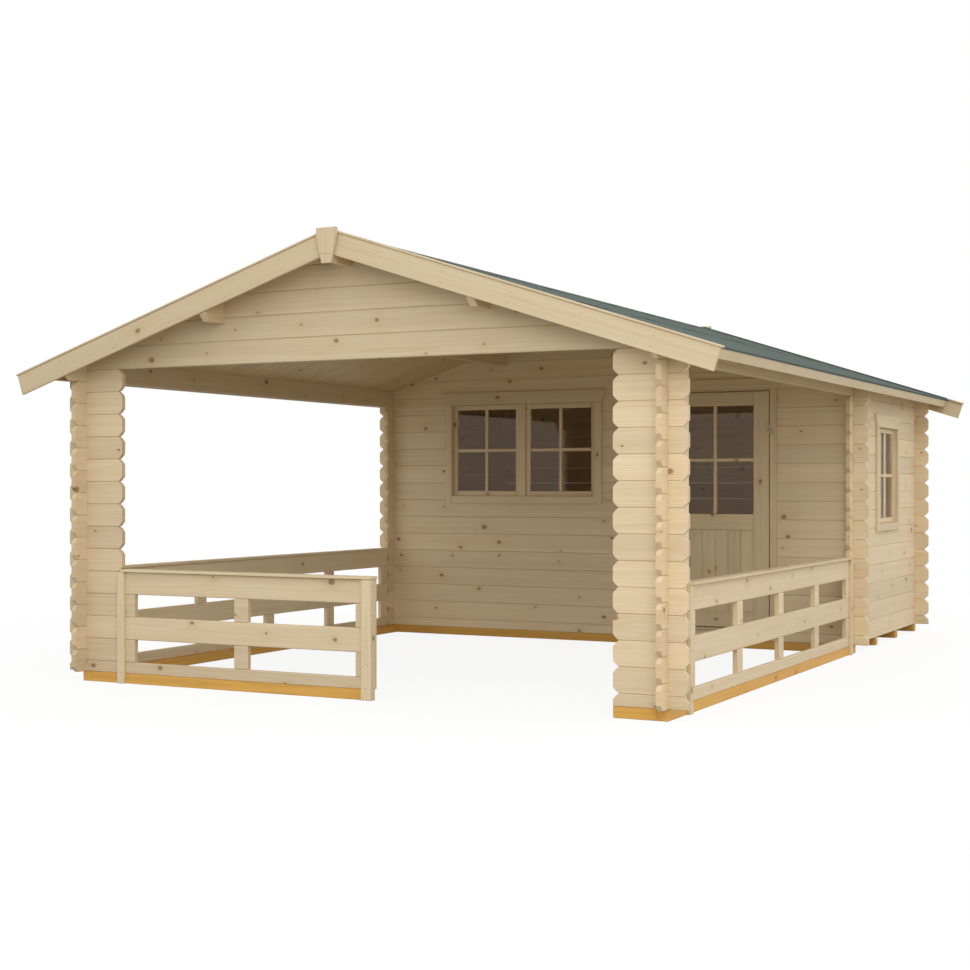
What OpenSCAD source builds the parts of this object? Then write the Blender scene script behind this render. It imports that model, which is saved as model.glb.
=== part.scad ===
// Garden log cabin with a deep covered terrace, all sizes in millimetres.
// X runs across the gable, Y from the terrace front to the rear wall, Z up.
// The origin is on the ground under the middle of the building.

/* [Logs] */
// Height of one log course
log_h = 135; // [110:1:170]
// Thickness of a wall log
log_t = 28; // [24:1:44]
// Full log courses up to the eaves
log_courses = 13; // [11:1:15]
// Cut at the corners of a free log end
log_end_cut = 32; // [10:1:34]
// Swell of that cut, from 0 for a flat bevel to 1 for a quarter round
log_end_swell = 0.25; // [0:0.05:1]
// Chamfer along the long edges of a log
log_chamfer = 4; // [1:0.5:5]
// Open joint between two stacked logs
log_gap = 0.5; // [0.3:0.1:0.8]
// Reach of the log ends past the corner joint
corner_out = 105; // [60:5:180]

/* [Plan] */
// Width over the side walls
wall_w = 3772; // [3400:1:4600]
// Depth of the terrace, post face to cabin wall face
terrace_d = 3684; // [2400:1:4500]
// Depth of the closed cabin, outer face to outer face
cabin_d = 2010; // [1700:1:3200]
// Reach of the corner post logs from the outer face
post_reach = 300; // [200:5:450]

/* [Base] */
// Height of the foundation beams
beam_h = 60; // [45:1:90]
// Width of the foundation beams
beam_w = 60; // [45:1:90]
// Number of joists under the cabin
joist_count = 4; // [3:1:6]
// Thickness of the floor boards
floor_t = 18; // [15:1:28]

/* [Roof] */
// Roof pitch in degrees
pitch = 18; // [15:0.5:21]
// Height of the ridge over the top of the wall logs, to the underside of the boards
ridge_rise = 665.5; // [560:0.5:800]
// Thickness of the roof boards
roof_board_t = 18; // [15:1:24]
// Thickness of the roofing felt
felt_t = 3; // [2:0.5:5]
// Turn-down of the felt over the eaves fascia
felt_drop = 8; // [4:1:40]
// Length of the roof boards down the slope
roof_slope = 2188; // [2120:1:2400]
// Roof overhang past the front posts and the rear wall
verge_out = 180; // [150:1:320]
// Thickness of fascia, barge and trim boards
trim_t = 18; // [15:1:24]
// Depth of the eaves fascia board
fascia_h = 62; // [50:1:110]
// Depth of the barge boards
barge_h = 120; // [95:1:150]
// Reach of the barge boards past the eaves fascia
barge_out = 128; // [60:1:180]
// Width of the verge cover strips
verge_w = 50; // [40:1:70]
// Thickness of the verge cover strips
verge_t = 12; // [6:1:22]
// Reach of the verge strips past the barge boards
verge_lap = 6; // [2:1:15]
// Height of the keystone boards at the ridge
finial_h = 193; // [150:1:240]
// Width of the keystone boards at the top
finial_top_w = 128; // [100:1:180]
// Width of the keystone boards at the foot
finial_foot_w = 59; // [40:1:90]

/* [Purlins] */
// Width of the purlins
purlin_w = 45; // [35:1:70]
// Depth of the purlins
purlin_h = 150; // [110:1:170]
// Distance of the side purlins from the ridge
purlin_x = 860; // [700:5:1000]
// Nose bevel at the purlin ends
nose = 40; // [20:1:60]

/* [Railings] */
// End of the front railing, from the middle of the front
rail_end_x = 160; // [-200:5:700]
// Width of the spacer blocks between the railing logs
spacer_w = 96; // [80:1:140]
// Number of spacer blocks in one row of a side railing
side_spacers = 5; // [4:1:7]
// Number of spacer blocks in one row of the front railing
front_spacers = 3; // [2:1:5]
// Width of the railing cap
cap_w = 70; // [60:1:100]
// Thickness of the railing cap
cap_t = 16; // [12:1:28]
// Width of the cover strips over the railing joints
strip_w = 52; // [40:1:80]
// Width of the end boards of the front railing
end_board_w = 65; // [55:1:110]
// Thickness of the strip that closes the log ends between those boards
end_strip_t = 12; // [8:1:20]

/* [Door] */
// Middle of the door, from the middle of the front wall
door_x = 869; // [780:1:950]
// Width of the door leaf
leaf_w = 816; // [720:1:860]
// Thickness of the door leaf
leaf_t = 40; // [34:1:44]
// Running gap round the door leaf
leaf_gap = 6.5; // [6:0.5:9]
// Width of the stiles and rails of the leaf
stile_w = 115; // [90:1:130]
// Height of the pane in the leaf
door_pane_h = 789; // [600:1:900]
// Visible width of the door jambs
jamb_w = 50; // [42:1:60]
// Depth of the groove that takes the log ends
jamb_groove = 20; // [12:1:25]
// Thickness of the door sill board
sill_t = 17; // [14:1:24]
// Height of the header board over the door
door_header_h = 78; // [50:1:110]
// Thickness of the head board of the door frame
head_t = 11; // [8:1:20]
// Height of the handle over the foot of the leaf
handle_z = 900; // [800:5:1000]
// Height of the handle plates
handle_plate_h = 210; // [160:5:240]
// Radius of the hinge barrels
hinge_r = 7; // [6:0.5:8]
// Radius of the hinge pins
pin_r = 4; // [3:0.5:4.5]
// Length of one hinge barrel half
barrel_l = 40; // [30:1:60]
// Distance of the hinges from the foot and the top of the leaf
hinge_inset = 230; // [150:5:350]

/* [Windows] */
// Width of one window light
light_w = 590; // [450:1:620]
// Height of one window light
light_h = 716; // [560:1:740]
// Post between the two lights of the front window
mullion_w = 48; // [40:1:60]
// Middle of the front window, from the middle of the wall
front_window_x = -705; // [-760:1:-660]
// Top of the front window lights below the top of the wall logs
front_window_drop = 64.5; // [60:0.5:200]
// Middle of the side window, from the cabin front
side_window_y = 1005; // [800:5:1200]
// Top of the side window lights below the eaves beam
side_window_drop = 197; // [60:1:320]
// Thickness of the window frame
frame_w = 30; // [24:1:40]
// Depth of the window frame
frame_d = 46; // [40:1:60]
// Width of the sash bars
sash_w = 38; // [30:1:55]
// Depth of the sash bars
sash_d = 30; // [24:1:40]
// Set-back of the sashes from the outer wall face
sash_set = 16; // [0:1:20]
// Thickness of the panes
pane_t = 4; // [3:0.5:6]
// Width of the casing boards
casing_w = 60; // [45:1:80]
// Height of the header board over an opening
header_h = 98; // [80:1:130]
// Flare of the header board ends
header_flare = 38; // [20:1:60]

/* [Hidden] */
// Clearance between pieces that seat on each other
fit = 0.5;
// Clearance between the layers of the roof
seat = 0.3;
// Steps of the cut at a log corner
arc_steps = 4;
$fn = 32;

half_log = log_h / 2;
notch_d = log_h / 4;
total_d = terrace_d + cabin_d;
x_wall = wall_w / 2;
y_front = -total_d / 2;
y_wall = y_front + terrace_d;
y_rear = total_d / 2;
z_half = beam_h;
z_logs = z_half + half_log;
z_top = z_logs + log_courses * log_h;
z_eaves = z_half + log_courses * log_h;
apex = z_top + ridge_rise;
felt_n = roof_board_t + seat;
verge_n = felt_n + felt_t + seat;
gable_courses = ceil(ridge_rise / log_h);
y_verge0 = y_front - verge_out;
y_verge1 = y_rear + verge_out;

side_joint = [[y_wall, y_wall + log_t], [y_rear - log_t, y_rear]];
post_joint = [[y_front, y_front + log_t]];
left_joint = [[-x_wall, -x_wall + log_t]];
right_joint = [[x_wall - log_t, x_wall]];

rail_rows = [z_logs + log_h, z_logs + 3 * log_h];
spacer_rows = [z_logs, z_logs + 2 * log_h];
rail_top = z_logs + 4 * log_h;
side_rail_y0 = y_front + post_reach;
side_rail_y1 = y_wall - corner_out;
front_rail_x0 = -x_wall + post_reach;

leaf_x0 = door_x - leaf_w / 2;
leaf_x1 = door_x + leaf_w / 2;
leaf_z0 = z_logs + sill_t + leaf_gap;
frame_x0 = leaf_x0 - leaf_gap;
frame_x1 = leaf_x1 + leaf_gap;
leaf_z1 = z_top - head_t - leaf_gap;
leaf_y0 = y_wall - trim_t;
door_hole_x0 = frame_x0 - jamb_w + jamb_groove;
door_hole_x1 = frame_x1 + jamb_w - jamb_groove;
stop_lap = 5;
hinge_x = (leaf_x1 + frame_x1) / 2;
hinge_y = leaf_y0 - hinge_r - 2;
hinge_rows = [leaf_z0 + hinge_inset, leaf_z1 - hinge_inset - 2 * barrel_l];
pane_z1 = leaf_z1 - stile_w + 15;
pane_z0 = pane_z1 - door_pane_h;

pine = [0.87, 0.79, 0.66];
pine_shade = [0.80, 0.71, 0.58];
impregnated = [0.80, 0.62, 0.30];
felt_grey = [0.36, 0.41, 0.40];
pane_blue = [0.55, 0.62, 0.66, 0.45];
iron_grey = [0.45, 0.46, 0.47];

// Height of the underside of the roof boards at a distance from the ridge
function under(x) = apex - abs(x) * tan(pitch);

// Point on the right slope, s down the slope and n square above the underside
function slope_point(s, n) = [
    s * cos(pitch) + n * sin(pitch),
    apex - s * sin(pitch) + n * cos(pitch)
];

// Share of the radius that a swelling corner cut keeps at an angle
function cut_reach(a) = log_end_swell + (1 - log_end_swell) / (cos(a) + sin(a));

// Corner of an outline, cut back when it has a radius
function corner(c, r, turn) = r > 0
    ? [for (i = [0:arc_steps]) let (a = 90 * i / arc_steps)
        c + r * cut_reach(a) * [cos(turn + a), sin(turn + a)]]
    : [c];

// Notches in the lower and the upper edge of a log, for the logs that cross it
function low_notches(spans, z) = [
    for (s = spans) each [
        [s[0] - fit, z], [s[0] - fit, z + notch_d], [s[1] + fit, z + notch_d], [s[1] + fit, z]
    ]
];
function high_notches(spans, z) = [
    for (i = [len(spans) - 1:-1:0]) each [
        [spans[i][1] + fit, z], [spans[i][1] + fit, z - notch_d],
        [spans[i][0] - fit, z - notch_d], [spans[i][0] - fit, z]
    ]
];

// Side view of a log from a0 to a1 with notches, r0 and r1 cut its two ends
function log_outline(a0, a1, z0, z1, r0, r1, spans, half) = let (f0 = half ? 0 : r0, f1 = half ? 0 : r1)
    concat(
        corner([a0 + f0, z0 + f0], f0, 180),
        half ? [] : low_notches(spans, z0),
        corner([a1 - f1, z0 + f1], f1, 270),
        corner([a1 - r1, z1 - r1], r1, 0),
        high_notches(spans, z1),
        corner([a0 + r0, z1 - r0], r0, 90)
    );

// Cross section of a log with chamfered long edges
function log_section(t0, t1, z0, z1) = let (c = log_chamfer) [
    [t0 + c, z0], [t1 - c, z0], [t1, z0 + c], [t1, z1 - c],
    [t1 - c, z1], [t0 + c, z1], [t0, z1 - c], [t0, z0 + c]
];

// Prism of an X-Z outline between two depths
module prism_y(points, y0, y1) {
    translate([0, y1, 0]) rotate([90, 0, 0]) linear_extrude(y1 - y0) polygon(points);
}

// Prism of a Y-Z outline between two sides
module prism_x(points, x0, x1) {
    translate([x0, 0, 0]) rotate([90, 0, 90]) linear_extrude(x1 - x0) polygon(points);
}

// Board with square edges between two corners
module board(low, high) {
    translate(low) cube(high - low);
}

// Log along X, its outer or inner face at y
module log_x(y, z, x0, x1, r0, r1, spans, half = false) {
    z1 = z + (half ? half_log : log_h) - log_gap;
    intersection() {
        prism_y(log_outline(x0, x1, z, z1, r0, r1, spans, half), y, y + log_t);
        prism_x(log_section(y, y + log_t, z, z1), x0 - 1, x1 + 1);
    }
}

// Log along Y, its lower X face at x
module log_y(x, z, y0, y1, r0, r1, spans, half = false) {
    z1 = z + (half ? half_log : log_h) - log_gap;
    intersection() {
        prism_x(log_outline(y0, y1, z, z1, r0, r1, spans, half), x, x + log_t);
        prism_y(log_section(x, x + log_t, z, z1), y0 - 1, y1 + 1);
    }
}

// Wall of full logs along X
module wall_x(y, x0, x1, r0, r1, spans) {
    for (k = [0:log_courses - 1]) log_x(y, z_logs + k * log_h, x0, x1, r0, r1, spans);
}

// Wall of full logs along Y
module wall_y(x, y0, y1, r0, r1, spans) {
    for (k = [0:log_courses - 1]) log_y(x, z_half + k * log_h, y0, y1, r0, r1, spans);
}

// Corner post: short logs of the front and of the side, crossing
module corner_post() {
    x0 = x_wall - post_reach;
    x1 = x_wall + corner_out;
    log_x(y_front, z_half, x0, x1, log_end_cut, log_end_cut, right_joint, half = true);
    wall_x(y_front, x0, x1, log_end_cut, log_end_cut, right_joint);
    wall_y(x_wall - log_t, y_front - corner_out, y_front + post_reach,
        log_end_cut, log_end_cut, post_joint);
}

// Outline of a gable log, cut to the slope of the roof
function gable_outline(z0, z1) = let (
        xb = x_wall - log_t - fit,
        reach = tan(pitch),
        x0 = min(xb, (apex - fit - z0) / reach),
        x1 = min(xb, max(0, (apex - fit - z1) / reach)),
        zs = min(z1, under(x0) - fit),
        zt = min(z1, under(x1) - fit)
    ) zs > z0
        ? [[-x0, z0], [x0, z0], [x0, zs], [x1, zt], [-x1, zt], [-x0, zs]]
        : x1 > 0
            ? [[-x0, z0], [x0, z0], [x1, zt], [-x1, zt]]
            : [[-x0, z0], [x0, z0], [0, zt]];

// Gable of logs between the eaves beams, slotted for the purlins
module gable(y) {
    difference() {
        for (k = [0:gable_courses - 1]) {
            z0 = z_top + k * log_h;
            z1 = z0 + log_h - log_gap;
            intersection() {
                prism_y(gable_outline(z0, z1), y, y + log_t);
                prism_x(log_section(y, y + log_t, z0, z1), -x_wall, x_wall);
            }
        }
        for (x = [-purlin_x, 0, purlin_x]) {
            slot = purlin_w / 2 + fit;
            board([x - slot, y - 1, under(x) - purlin_h - fit], [x + slot, y + log_t + 1, apex + log_h]);
        }
    }
}

// Purlin with its top planed to the roof and its noses bevelled
module purlin(x) {
    z0 = under(x) - purlin_h;
    a = x - purlin_w / 2;
    b = x + purlin_w / 2;
    top = x == 0 ? [[b, under(b) - fit], [0, apex - fit], [a, under(a) - fit]]
        : [[b, under(b) - fit], [a, under(a) - fit]];
    intersection() {
        prism_y(concat([[a, z0], [b, z0]], top), y_verge0, y_verge1);
        prism_x([
            [y_verge0 + nose, z0], [y_verge1 - nose, z0], [y_verge1, z0 + nose],
            [y_verge1, apex], [y_verge0, apex], [y_verge0, z0 + nose]
        ], a - 1, b + 1);
    }
}

// Top log of a side wall, from verge to verge, notched over the cross walls
module eaves_beam() {
    xa = x_wall - log_t;
    spans = concat(post_joint, side_joint);
    intersection() {
        prism_y([[xa, z_eaves], [x_wall, z_eaves], [x_wall, under(x_wall) - fit], [xa, under(xa) - fit]],
            y_verge0, y_verge1);
        prism_x(concat(
            [[y_verge0, z_eaves + nose], [y_verge0 + nose, z_eaves]],
            low_notches(spans, z_eaves),
            [[y_verge1 - nose, z_eaves], [y_verge1, z_eaves + nose], [y_verge1, apex], [y_verge0, apex]]
        ), xa - 1, x_wall + 1);
    }
}

// Upper end of a roof layer beside the ridge, n square above the underside of the boards
function ridge_end(n) = [fit / 2, under(fit / 2) + n / cos(pitch)];

// Layer of the right roof slope between two heights square to the boards
module roof_layer(n0, n1, s1, y0, y1) {
    prism_y([ridge_end(n0), slope_point(s1, n0), slope_point(s1, n1), ridge_end(n1)], y0, y1);
}

// Pair of barge boards, square cut at the eaves and plumb cut at the ridge
module barge_pair(y0) {
    top_n = felt_n + felt_t;
    for (side = [0, 1]) mirror([side, 0, 0])
        roof_layer(top_n - barge_h, top_n, roof_slope + trim_t + barge_out, y0, y0 + trim_t);
}

// Keystone board in front of the ridge, with a shallow groove over its foot
module finial(y0, face_y) {
    z1 = apex + (verge_n + verge_t) / cos(pitch);
    z0 = z1 - finial_h;
    shoulder = 41;
    groove_z = z0 + 48;
    groove_d = 3;
    difference() {
        prism_y([
            [-finial_foot_w / 2, z0], [finial_foot_w / 2, z0],
            [finial_top_w / 2, z1 - shoulder], [finial_top_w / 2, z1],
            [-finial_top_w / 2, z1], [-finial_top_w / 2, z1 - shoulder]
        ], y0, y0 + trim_t);
        board([-finial_top_w, face_y - groove_d, groove_z],
            [finial_top_w, face_y + groove_d, groove_z + groove_d]);
    }
}

// Railing of log courses with open rows between them, along Y
module side_rail() {
    x = x_wall - log_t;
    y0 = side_rail_y0 + fit;
    y1 = side_rail_y1 - fit;
    step = (y1 - y0 - spacer_w) / (side_spacers - 1);
    log_y(x, z_half, y0, y1, 0, 0, [], half = true);
    for (z = rail_rows) log_y(x, z, y0, y1, 0, 0, []);
    for (z = spacer_rows) for (i = [0:side_spacers - 1])
        log_y(x, z, y0 + i * step, y0 + i * step + spacer_w, 0, 0, []);
}

// Header board whose ends flare outward to the top, on the face at y = 0
module header_board(w, z, h) {
    prism_y([
        [-w / 2, z], [w / 2, z], [w / 2 + header_flare, z + h], [-w / 2 - header_flare, z + h]
    ], -trim_t, 0);
}

// Window parts in the wall's own frame: x along the wall, y into it, z from the foot of the lights
function lights_w(count) = count * light_w + (count - 1) * mullion_w;

module window_hole(count) {
    w = lights_w(count) / 2 + frame_w + fit;
    board([-w, -log_t, -frame_w - fit], [w, 2 * log_t, light_h + frame_w + fit]);
}

module window_frame(count) {
    w = lights_w(count) / 2;
    for (side = [0, 1]) mirror([side, 0, 0])
        board([w, 0, -frame_w], [w + frame_w, frame_d, light_h + frame_w]);
    for (z = [-frame_w, light_h])
        board([-w + fit, 0, z], [w - fit, frame_d, z + frame_w]);
    if (count > 1) for (i = [1:count - 1]) {
        x = -w + i * light_w + (i - 1) * mullion_w;
        board([x, 0, fit], [x + mullion_w, frame_d, light_h - fit]);
    }
}

// Places the children in each light of a window
module each_light(count) {
    for (i = [0:count - 1])
        translate([-lights_w(count) / 2 + light_w / 2 + i * (light_w + mullion_w), 0, 0]) children();
}

module window_sash() {
    w = light_w / 2 - fit;
    for (side = [0, 1]) mirror([side, 0, 0])
        board([w - sash_w, sash_set, fit], [w, sash_set + sash_d, light_h - fit]);
    for (z = [fit, light_h - fit - sash_w])
        board([-w + sash_w + fit, sash_set, z], [w - sash_w - fit, sash_set + sash_d, z + sash_w]);
}

module window_pane() {
    w = light_w / 2 - 2 * fit - sash_w;
    y = sash_set + (sash_d - pane_t) / 2;
    board([-w, y, sash_w + 2 * fit], [w, y + pane_t, light_h - sash_w - 2 * fit]);
}

module window_casing(count) {
    w = lights_w(count) / 2;
    for (side = [0, 1]) mirror([side, 0, 0])
        board([w, -trim_t, -casing_w], [w + casing_w, 0, light_h - fit]);
    board([-w + fit, -trim_t, -casing_w], [w - fit, 0, 0]);
    header_board(2 * (w + casing_w), light_h, header_h);
}

// Places the children at the front window and at the side window
module at_front_window() {
    translate([front_window_x, y_wall, z_top - front_window_drop - light_h]) children();
}

module at_side_window() {
    translate([x_wall, y_wall + side_window_y, z_eaves - side_window_drop - light_h])
        rotate([0, 0, 90]) children();
}

// Jamb with a groove for the log ends and a stop behind the leaf
function jamb_section(x) = [
    [x - jamb_w, -trim_t], [x, -trim_t], [x, log_t], [x + leaf_gap + stop_lap, log_t],
    [x + leaf_gap + stop_lap, log_t + trim_t], [x - jamb_w, log_t + trim_t],
    [x - jamb_w, log_t + fit], [x - jamb_w + jamb_groove + fit, log_t + fit],
    [x - jamb_w + jamb_groove + fit, -fit], [x - jamb_w, -fit]
];

module door_jamb() {
    z1 = z_top - fit;
    translate([0, y_wall, z_logs]) linear_extrude(z1 - z_logs)
        polygon(jamb_section(-leaf_w / 2 - leaf_gap));
}

// Lift-off hinge halves: the lower one with the pin on the jamb, the upper one on the leaf
module hinge_half(side, z, l) {
    plate_l = 30;
    plate_t = 3;
    translate([hinge_x, hinge_y, z]) cylinder(r = hinge_r, h = l);
    a = side > 0 ? hinge_x : hinge_x - plate_l;
    board([a, leaf_y0 - plate_t, z], [a + plate_l, leaf_y0, z + l]);
}

module lever(y, out) {
    x = leaf_x0 + stile_w / 2;
    z = leaf_z0 + handle_z;
    plate = [34, 4, handle_plate_h];
    neck_r = 8;
    neck_l = 46;
    lever_l = 112;
    ya = out > 0 ? y : y - plate[1];
    yb = y + out * neck_l;
    board([x - plate[0] / 2, ya, z - plate[2] * 0.65],
        [x + plate[0] / 2, ya + plate[1], z + plate[2] * 0.35]);
    translate([x, y, z]) rotate([-out * 90, 0, 0]) cylinder(r = neck_r, h = neck_l + neck_r);
    translate([x, yb, z]) rotate([0, 90, 0]) cylinder(r = neck_r, h = lever_l);
}

module terrace_base_beams() color(impregnated) {
    for (side = [0, 1]) mirror([side, 0, 0])
        board([x_wall - beam_w, y_front, 0], [x_wall, y_wall - fit, beam_h]);
    board([-x_wall + beam_w + fit, y_front, 0], [rail_end_x - end_board_w / 2, y_front + beam_w, beam_h]);
    board([x_wall - post_reach, y_front, 0], [x_wall - beam_w - fit, y_front + beam_w, beam_h]);
}

module floor_joists() color(impregnated) {
    step = (cabin_d - beam_w) / (joist_count - 1);
    for (i = [0:joist_count - 1])
        board([-x_wall, y_wall + i * step, 0], [x_wall, y_wall + i * step + beam_w, beam_h]);
}

module cabin_floor() color(pine_shade) {
    x = x_wall - log_t - fit;
    board([-x, y_wall + log_t + fit, beam_h], [x, y_rear - log_t - fit, beam_h + floor_t]);
}

module right_front_post() color(pine) corner_post();

module left_front_post() color(pine) mirror([1, 0, 0]) corner_post();

module front_gable() color(pine) gable(y_front);

module front_wall_left() color(pine) difference() {
    wall_x(y_wall, -x_wall - corner_out, door_hole_x0, log_end_cut, 0, left_joint);
    at_front_window() window_hole(2);
}

module front_wall_right() color(pine)
    wall_x(y_wall, door_hole_x1, x_wall + corner_out, 0, log_end_cut, right_joint);

module front_wall_threshold() color(pine)
    log_x(y_wall, z_half, -x_wall - corner_out, x_wall + corner_out, log_end_cut, log_end_cut,
        concat(left_joint, right_joint), half = true);

module cabin_front_gable() color(pine) gable(y_wall);

module side_wall() {
    wall_y(x_wall - log_t, y_wall - corner_out, y_rear + corner_out,
        log_end_cut, log_end_cut, side_joint);
}

module left_wall() color(pine) mirror([1, 0, 0]) side_wall();

module right_wall() color(pine) difference() {
    side_wall();
    at_side_window() window_hole(1);
}

module rear_wall() color(pine) {
    y = y_rear - log_t;
    x = x_wall + corner_out;
    joints = concat(left_joint, right_joint);
    log_x(y, z_half, -x, x, log_end_cut, log_end_cut, joints, half = true);
    wall_x(y, -x, x, log_end_cut, log_end_cut, joints);
    gable(y);
}

module right_eaves_beam() color(pine) eaves_beam();

module left_eaves_beam() color(pine) mirror([1, 0, 0]) eaves_beam();

module ridge_purlin() color(pine) purlin(0);

module side_purlins() color(pine) for (side = [0, 1]) mirror([side, 0, 0]) purlin(purlin_x);

module right_boards() {
    roof_layer(0, roof_board_t, roof_slope, y_verge0, y_verge1);
}

module right_felt() {
    s0 = roof_slope + trim_t + seat;
    s1 = s0 + felt_t;
    n1 = felt_n + felt_t;
    prism_y([
        ridge_end(felt_n), slope_point(s0, felt_n), slope_point(s0, felt_n - felt_drop),
        slope_point(s1, felt_n - felt_drop), slope_point(s1, n1), ridge_end(n1)
    ], y_verge0 + seat, y_verge1 - seat);
}

module roof_boards_right() color(pine_shade) right_boards();

module roof_boards_left() color(pine_shade) mirror([1, 0, 0]) right_boards();

module roof_felt_right() color(felt_grey) right_felt();

module roof_felt_left() color(felt_grey) mirror([1, 0, 0]) right_felt();

module eaves_fascias() color(pine) for (side = [0, 1]) mirror([side, 0, 0]) {
    n0 = roof_board_t - fascia_h;
    prism_y([
        slope_point(roof_slope + seat, n0), slope_point(roof_slope + trim_t, n0),
        slope_point(roof_slope + trim_t, roof_board_t), slope_point(roof_slope + seat, roof_board_t)
    ], y_verge0, y_verge1);
}

module front_bargeboards() color(pine) barge_pair(y_verge0 - trim_t);

module rear_bargeboards() color(pine) barge_pair(y_verge1);

module verge_strips() color(pine) for (side = [0, 1]) mirror([side, 0, 0]) {
    s1 = roof_slope + trim_t + barge_out + verge_lap;
    ya = y_verge0 - trim_t - verge_lap;
    yb = y_verge1 + trim_t + verge_lap - verge_w;
    for (y = [ya, yb]) roof_layer(verge_n, verge_n + verge_t, s1, y, y + verge_w);
}

module finials() color(pine) {
    finial(y_verge0 - 2 * trim_t - verge_lap, y_verge0 - 2 * trim_t - verge_lap);
    finial(y_verge1 + trim_t + verge_lap, y_verge1 + 2 * trim_t + verge_lap);
}

module front_railing() color(pine) {
    x0 = front_rail_x0 + fit;
    x1 = rail_end_x - end_strip_t - fit;
    step = (x1 - x0 - spacer_w) / (front_spacers - 1);
    log_x(y_front, z_half, x0, x1, 0, 0, [], half = true);
    for (z = rail_rows) log_x(y_front, z, x0, x1, 0, 0, []);
    for (z = spacer_rows) for (i = [0:front_spacers - 1])
        log_x(y_front, z, x0 + i * step, x0 + i * step + spacer_w, 0, 0, []);
}

module right_railing() color(pine) side_rail();

module left_railing() color(pine) mirror([1, 0, 0]) side_rail();

module railing_caps() color(pine) {
    out = trim_t + verge_lap;
    for (side = [0, 1]) mirror([side, 0, 0])
        board([x_wall + out - cap_w, side_rail_y0 + fit, rail_top],
            [x_wall + out, side_rail_y1 - fit, rail_top + cap_t]);
    board([front_rail_x0 + fit, y_front - out, rail_top],
        [rail_end_x + verge_lap, y_front - out + cap_w, rail_top + cap_t]);
}

module railing_cover_strips() color(pine) {
    z1 = rail_top - log_gap;
    for (side = [0, 1]) mirror([side, 0, 0])
        for (y = [side_rail_y0, side_rail_y1])
            board([x_wall, y - strip_w / 2, 0], [x_wall + trim_t, y + strip_w / 2, z1]);
    board([front_rail_x0 - strip_w / 2, y_front - trim_t, 0], [front_rail_x0 + strip_w / 2, y_front, z1]);
}

module front_railing_end_boards() color(pine) {
    x0 = rail_end_x - end_board_w;
    z1 = rail_top - log_gap;
    board([x0, y_front - trim_t, 0], [rail_end_x, y_front, z1]);
    board([x0, y_front + log_t, beam_h], [rail_end_x, y_front + log_t + trim_t, z1]);
    board([rail_end_x - end_strip_t, y_front + fit, 0], [rail_end_x, y_front + log_t - fit, z1]);
}

module door_frame() color(pine) {
    translate([door_x, 0, 0]) for (side = [0, 1]) mirror([side, 0, 0]) door_jamb();
    for (z = [[z_logs, z_logs + sill_t], [z_top - head_t, z_top - fit]])
        board([frame_x0 + fit, y_wall - trim_t, z[0]], [frame_x1 - fit, y_wall + log_t - fit, z[1]]);
}

module door_header() color(pine)
    translate([door_x, y_wall, 0]) header_board(frame_x1 - frame_x0 + 2 * jamb_w, z_top, door_header_h);

module door_leaf_frame() color(pine) {
    y1 = leaf_y0 + leaf_t;
    for (x = [leaf_x0, leaf_x1 - stile_w])
        board([x, leaf_y0, leaf_z0], [x + stile_w, y1, leaf_z1]);
    xa = leaf_x0 + stile_w + fit;
    xb = leaf_x1 - stile_w - fit;
    for (z = [[leaf_z0, leaf_z0 + stile_w], [pane_z0 - stile_w, pane_z0], [pane_z1, leaf_z1]])
        board([xa, leaf_y0, z[0]], [xb, y1, z[1]]);
}

module door_panel() color(pine) {
    inset = 10;
    board([leaf_x0 + stile_w + fit, leaf_y0 + inset, leaf_z0 + stile_w + fit],
        [leaf_x1 - stile_w - fit, leaf_y0 + leaf_t - inset, pane_z0 - stile_w - fit]);
}

module door_glass() color(pane_blue) {
    y = leaf_y0 + (leaf_t - pane_t) / 2;
    board([leaf_x0 + stile_w + fit, y, pane_z0 + fit],
        [leaf_x1 - stile_w - fit, y + pane_t, pane_z1 - fit]);
}

module door_handle() color(iron_grey) {
    lever(leaf_y0, -1);
    lever(leaf_y0 + leaf_t, 1);
}

module door_hinge_pins() color(iron_grey) for (z = hinge_rows) {
    hinge_half(1, z, barrel_l);
    translate([hinge_x, hinge_y, z]) cylinder(r = pin_r, h = 2 * barrel_l - 4);
}

module door_hinge_sleeves() color(iron_grey) for (z = hinge_rows) difference() {
    hinge_half(-1, z + barrel_l + fit, barrel_l);
    translate([hinge_x, hinge_y, z]) cylinder(r = pin_r + fit / 2, h = 2 * barrel_l - 3);
}

module window_frames() color(pine) {
    at_front_window() window_frame(2);
    at_side_window() window_frame(1);
}

module window_sashes() color(pine) {
    at_front_window() each_light(2) window_sash();
    at_side_window() window_sash();
}

module window_glass() color(pane_blue) {
    at_front_window() each_light(2) window_pane();
    at_side_window() window_pane();
}

module window_casings() color(pine) {
    at_front_window() window_casing(2);
    at_side_window() window_casing(1);
}

terrace_base_beams();
floor_joists();
cabin_floor();
left_front_post();
right_front_post();
front_gable();
front_wall_left();
front_wall_right();
front_wall_threshold();
cabin_front_gable();
left_wall();
right_wall();
rear_wall();
left_eaves_beam();
right_eaves_beam();
ridge_purlin();
side_purlins();
roof_boards_left();
roof_boards_right();
roof_felt_left();
roof_felt_right();
eaves_fascias();
front_bargeboards();
rear_bargeboards();
verge_strips();
finials();
front_railing();
left_railing();
right_railing();
railing_caps();
railing_cover_strips();
front_railing_end_boards();
door_frame();
door_header();
door_leaf_frame();
door_panel();
door_glass();
door_handle();
door_hinge_pins();
door_hinge_sleeves();
window_frames();
window_sashes();
window_glass();
window_casings();
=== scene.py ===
# Garden log cabin with a deep covered terrace: the finish of its timber, felt, panes and ironwork.
import math

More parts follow.
